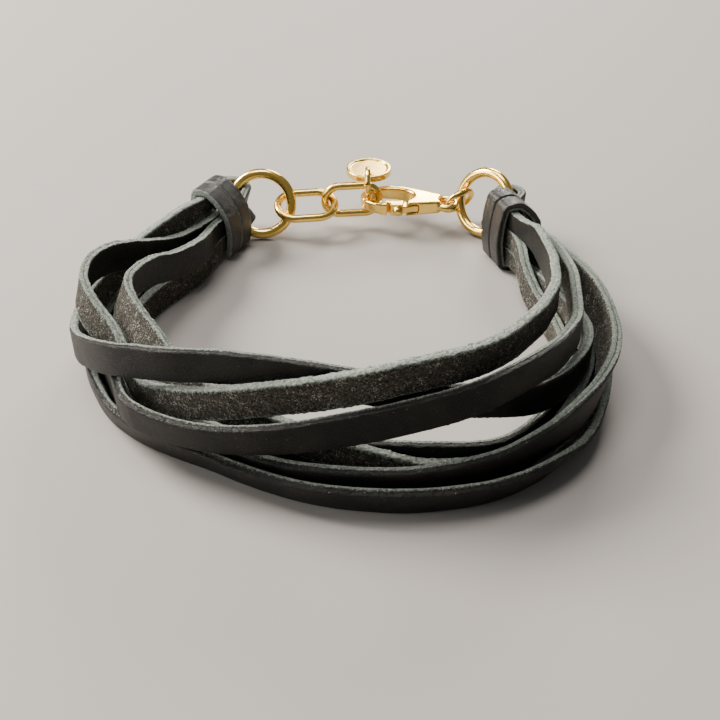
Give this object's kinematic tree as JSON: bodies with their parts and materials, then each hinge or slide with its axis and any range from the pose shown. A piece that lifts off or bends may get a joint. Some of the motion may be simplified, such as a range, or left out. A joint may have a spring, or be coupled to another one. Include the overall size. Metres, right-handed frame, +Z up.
{
  "type": "multi-strand leather bracelet",
  "caption": "Bracelet of flat dark leather laces bound at both ends to round metal rings and closed by oval links and a lobster clasp, with a plain disc charm.",
  "frame": {"origin": "inside the loop, on the surface that the bracelet lies on", "axes": "+Z up from the surface along the wrist opening, +Y towards the clasp, +X to the right seen from the front"},
  "size_m": [0.0664, 0.0729, 0.017],
  "materials": {
    "grain_leather": "satin",
    "suede_leather": "matte",
    "gold_metal": "polished"
  },
  "bodies": {
    "bracelet": {"strand_a": "grain_leather", "strand_b": "suede_leather", "strand_c": "grain_leather", "strand_d": "grain_leather", "strand_e": "grain_leather", "strand_f": "suede_leather", "strand_g": "grain_leather", "binding_left": "grain_leather", "binding_right": "grain_leather", "fold_left_1": "grain_leather", "fold_left_2": "grain_leather", "fold_left_3": "grain_leather", "fold_left_4": "grain_leather", "fold_right_1": "grain_leather", "fold_right_2": "grain_leather", "fold_right_3": "grain_leather", "fold_right_4": "grain_leather", "ring_left": "gold_metal", "ring_right": "gold_metal", "link_1": "gold_metal", "link_2": "gold_metal", "charm_ring": "gold_metal", "charm_disc": "gold_metal", "clasp_body": "gold_metal", "clasp_ring": "gold_metal"},
    "lever": {"clasp_lever": "gold_metal"}
  },
  "joints": [
    {"name": "clasp_lever_hinge", "type": "hinge", "parent": "bracelet", "child": "lever", "pos_m": [0.00834, 0.03163, 0.0044], "axis": [0, 0, -1], "range_deg": [0, 22], "stiffness_Nm_per_rad": 0.0005}
  ]
}
